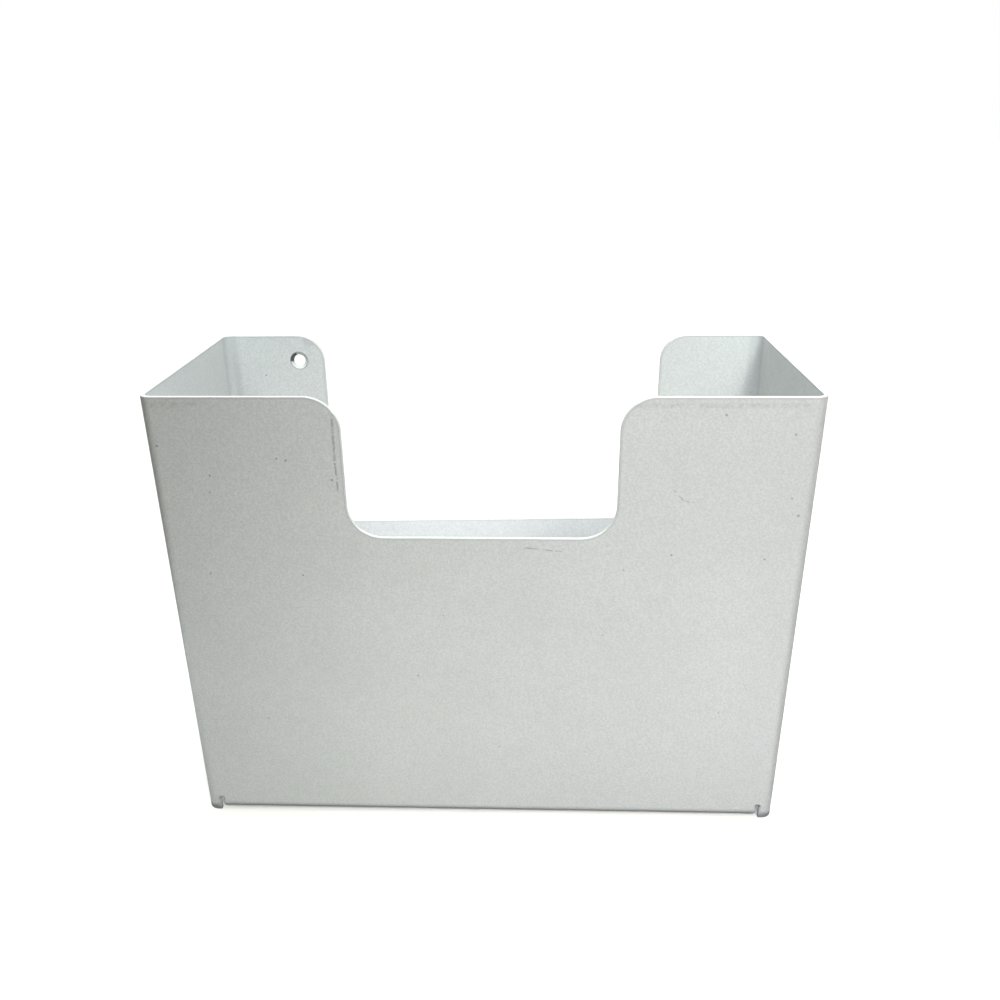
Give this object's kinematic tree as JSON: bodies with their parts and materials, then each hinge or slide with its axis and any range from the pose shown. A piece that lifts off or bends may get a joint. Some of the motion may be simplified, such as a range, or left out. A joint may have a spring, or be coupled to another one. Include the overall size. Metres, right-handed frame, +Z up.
{
  "type": "magazine file holder",
  "caption": "Open-topped folded sheet steel file holder with a U-notched front, a low rear panel between tall rear ears, and a countersunk screw hole.",
  "frame": {"origin": "centre of the footprint, on the surface the holder stands on", "axes": "+X to the right seen from the front, +Y from the notched front towards the rear ears, +Z up"},
  "size_m": [0.32, 0.127, 0.245],
  "materials": {
    "powder_coat": "fine-textured satin powder coat"
  },
  "bodies": {
    "root": {"front_and_side_shell": "powder_coat", "base_plate": "powder_coat", "rear_panel": "powder_coat"}
  },
  "joints": []
}
